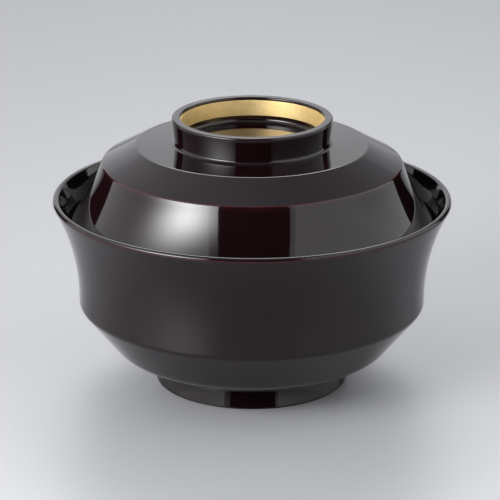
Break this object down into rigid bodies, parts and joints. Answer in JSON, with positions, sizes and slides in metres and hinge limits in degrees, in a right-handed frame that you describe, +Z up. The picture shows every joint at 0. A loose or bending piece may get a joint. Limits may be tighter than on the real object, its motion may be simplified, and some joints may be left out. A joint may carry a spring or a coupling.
{
  "type": "lidded soup bowl",
  "caption": "Flared lacquer soup bowl on a ring foot, with a loose stepped lid that seats inside its rim and is lifted by a ring knob lined with gold.",
  "frame": {"origin": "on the bowl's axis, at the surface that the foot ring stands on", "axes": "+Z up along the axis that the bowl and the lid are turned about; X and Y are free"},
  "size_m": [0.121, 0.121, 0.0833],
  "materials": {
    "core": "moulded wood-filled resin, under the lacquer",
    "brown_lacquer": "brown-black see-through lacquer over red, mirror gloss",
    "black_lacquer": "black lacquer, mirror gloss",
    "gold": "satin gold paint"
  },
  "bodies": {
    "bowl": {"bowl_body": "core", "bowl_outer_coat": "brown_lacquer", "bowl_inner_coat": "black_lacquer", "bowl_foot_coat": "black_lacquer"},
    "lid": {"lid_body": "core", "lid_outer_coat": "brown_lacquer", "lid_inner_coat": "black_lacquer", "lid_gold_band": "gold"}
  },
  "joints": [
    {"name": "lid_lift", "type": "slide", "parent": "bowl", "child": "lid", "axis": [0, 0, 1], "range_m": [0, 0.08]}
  ]
}
